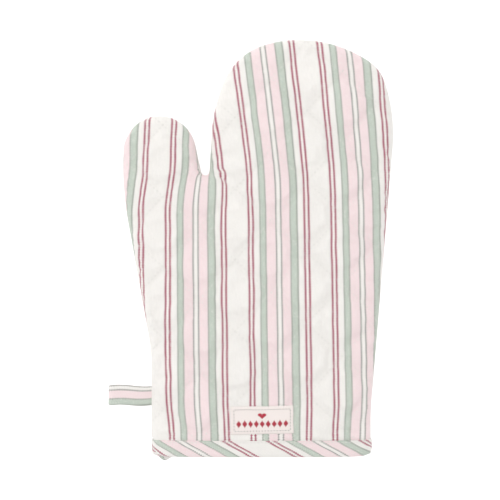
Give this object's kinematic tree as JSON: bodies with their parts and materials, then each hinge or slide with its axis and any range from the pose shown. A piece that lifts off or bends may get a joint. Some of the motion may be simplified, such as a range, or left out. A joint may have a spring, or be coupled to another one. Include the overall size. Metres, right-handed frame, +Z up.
{
  "type": "oven mitt",
  "caption": "Quilted cotton oven mitt with a thumb, a bound cuff, a hanging loop and a sewn label; the fingers and the thumb fold towards the palm.",
  "frame": {"origin": "bottom centre of the mitt's box, on the surface it lies on", "axes": "+Y from the cuff to the fingertips, +Z up through the front panel, +X across the cuff, away from the thumb and the hanging loop"},
  "size_m": [0.2057, 0.3, 0.0267],
  "materials": {
    "striped_cotton": "woven cotton twill, off-white ground with pink, sage green, crimson and grey stripes",
    "wadding": "matt needled fibre wadding",
    "lining_cotton": "plain woven undyed cotton",
    "quilting_thread": "off-white sewing thread",
    "seam_thread": "off-white overlock and seam thread",
    "label_twill": "cream twill tape",
    "label_thread": "beige sewing thread"
  },
  "bodies": {
    "hand": {"front_outer_hand": "striped_cotton", "front_wadding_hand": "wadding", "front_lining_hand": "lining_cotton", "front_quilting_hand": "quilting_thread", "back_outer_hand": "striped_cotton", "back_wadding_hand": "wadding", "back_lining_hand": "lining_cotton", "back_quilting_hand": "quilting_thread", "seam_stitching_hand": "seam_thread", "seam_allowance_hand": "striped_cotton", "seam_overlock_hand": "seam_thread", "cuff_binding": "striped_cotton", "binding_stitching": "quilting_thread", "label": "label_twill", "label_stitching": "label_thread"},
    "fingers": {"front_outer_fingers": "striped_cotton", "front_wadding_fingers": "wadding", "front_lining_fingers": "lining_cotton", "front_quilting_fingers": "quilting_thread", "back_outer_fingers": "striped_cotton", "back_wadding_fingers": "wadding", "back_lining_fingers": "lining_cotton", "back_quilting_fingers": "quilting_thread", "seam_stitching_fingers": "seam_thread", "seam_allowance_fingers": "striped_cotton", "seam_overlock_fingers": "seam_thread"},
    "thumb": {"front_outer_thumb": "striped_cotton", "front_wadding_thumb": "wadding", "front_lining_thumb": "lining_cotton", "front_quilting_thumb": "quilting_thread", "back_outer_thumb": "striped_cotton", "back_wadding_thumb": "wadding", "back_lining_thumb": "lining_cotton", "back_quilting_thumb": "quilting_thread", "seam_stitching_thumb": "seam_thread", "seam_allowance_thumb": "striped_cotton", "seam_overlock_thumb": "seam_thread"},
    "hanging_loop": {"hanging_loop": "striped_cotton"}
  },
  "joints": [
    {"name": "finger_fold", "type": "hinge", "parent": "hand", "child": "fingers", "pos_m": [0.034, 0.068, 0.026], "axis": [1, 0, 0], "range_deg": [0, 70]},
    {"name": "thumb_fold", "type": "hinge", "parent": "hand", "child": "thumb", "pos_m": [-0.044, 0.053, 0.026], "axis": [0.3305, 0.9438, 0], "range_deg": [0, 60]},
    {"name": "loop_swing", "type": "hinge", "parent": "hand", "child": "hanging_loop", "pos_m": [-0.07315, -0.1055, 0.013], "axis": [0, 1, 0], "range_deg": [-18, 80]}
  ]
}
